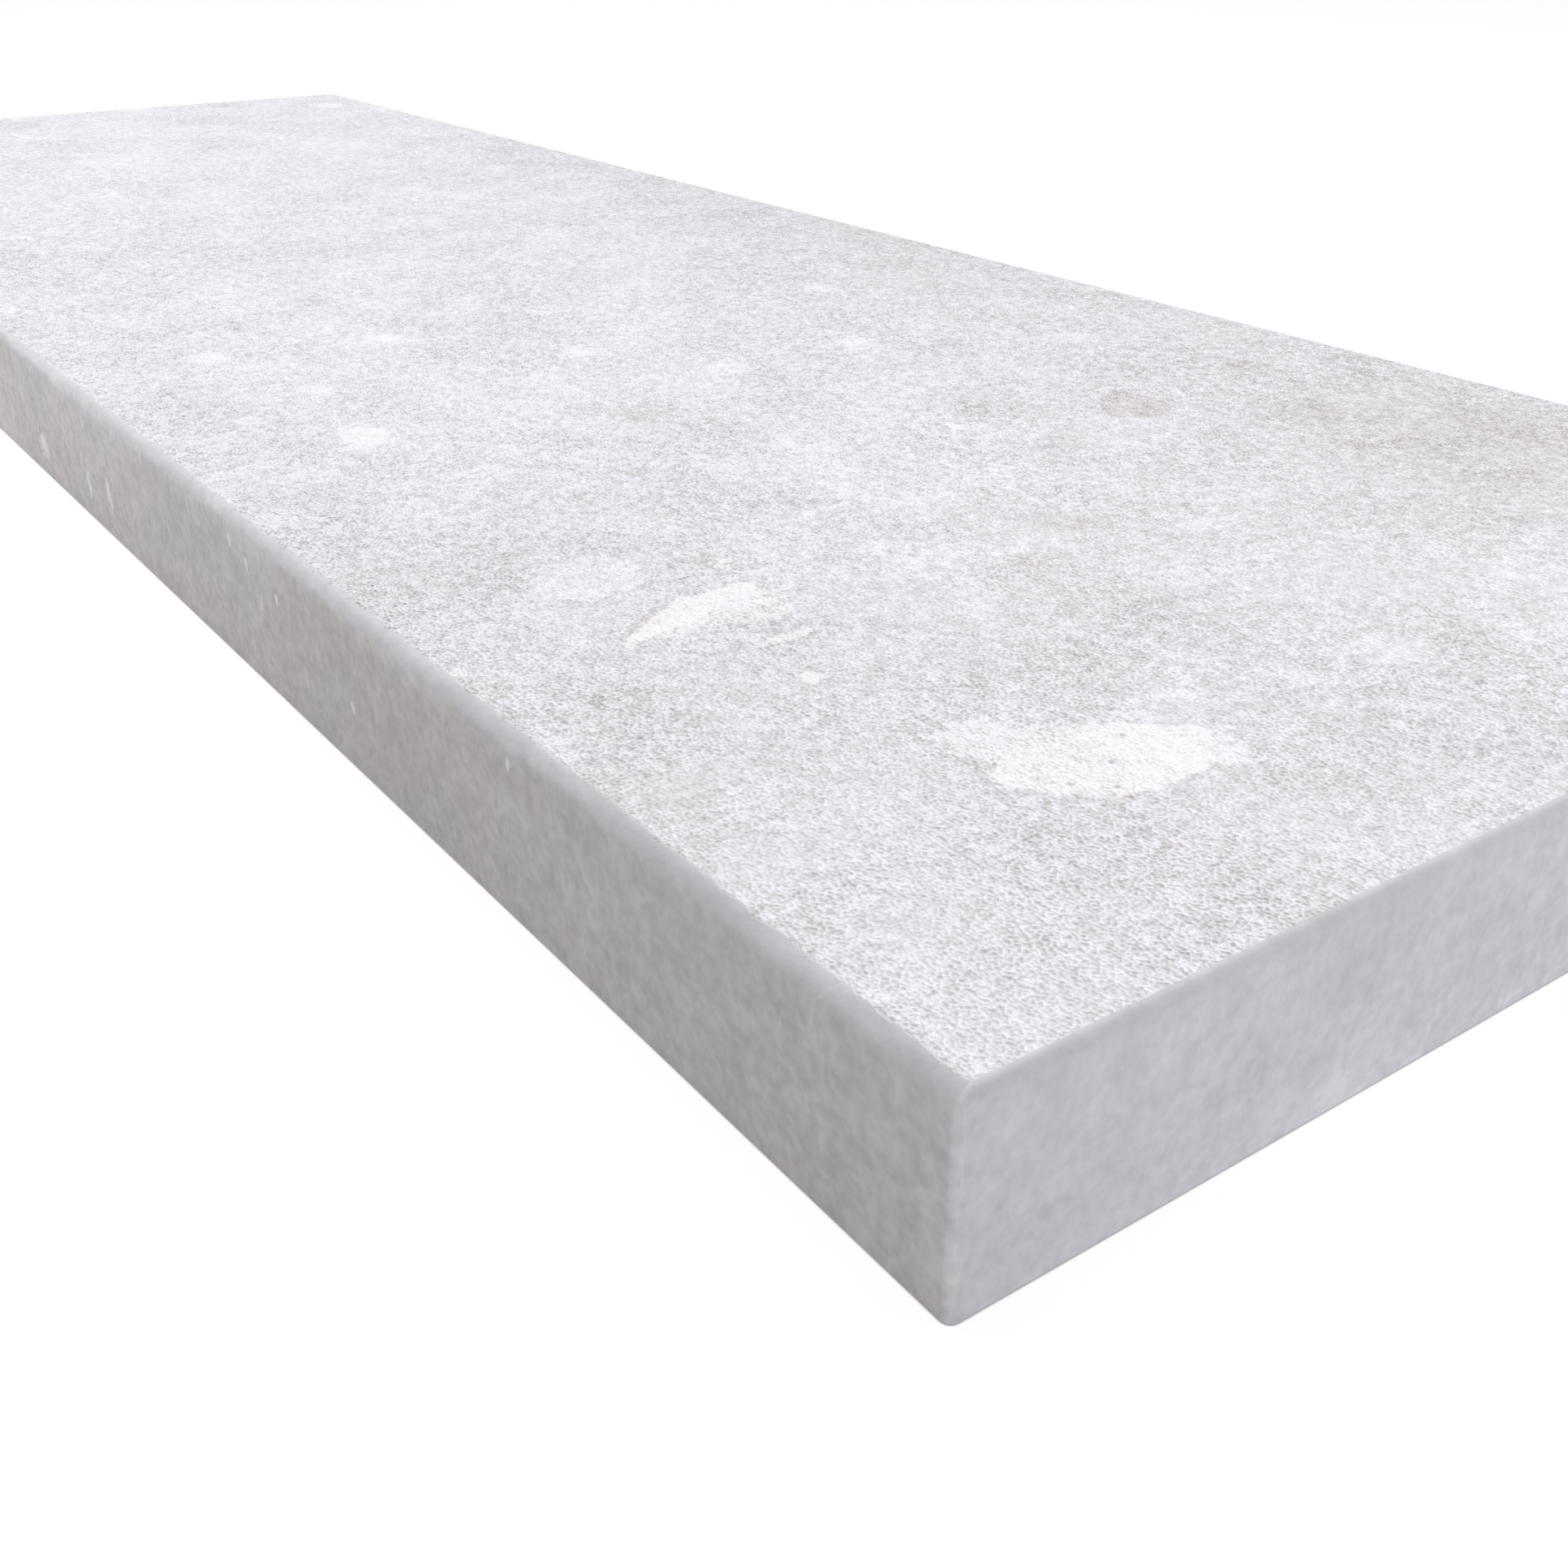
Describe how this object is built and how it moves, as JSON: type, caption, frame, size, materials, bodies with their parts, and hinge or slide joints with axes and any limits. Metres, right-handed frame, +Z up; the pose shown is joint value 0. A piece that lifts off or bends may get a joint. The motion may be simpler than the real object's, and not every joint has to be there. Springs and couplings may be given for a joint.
{
  "type": "wall coping stone",
  "caption": "Flat rectangular limestone slab with pencil-rounded long top edges and fine end arrises, laid along the top of a wall to cap and shed water from it.",
  "frame": {"origin": "centre of the bedding face, on the underside", "axes": "+X along the slab's length, which runs along the wall; +Y across the wall; +Z up, out of the weathered top face"},
  "size_m": [0.9, 0.3, 0.035],
  "materials": {
    "limestone": "pale grey limestone, fine-blasted grip texture on top, smooth sawn sides, pale fossil patches"
  },
  "bodies": {
    "root": {"coping_slab": "limestone"}
  },
  "joints": []
}
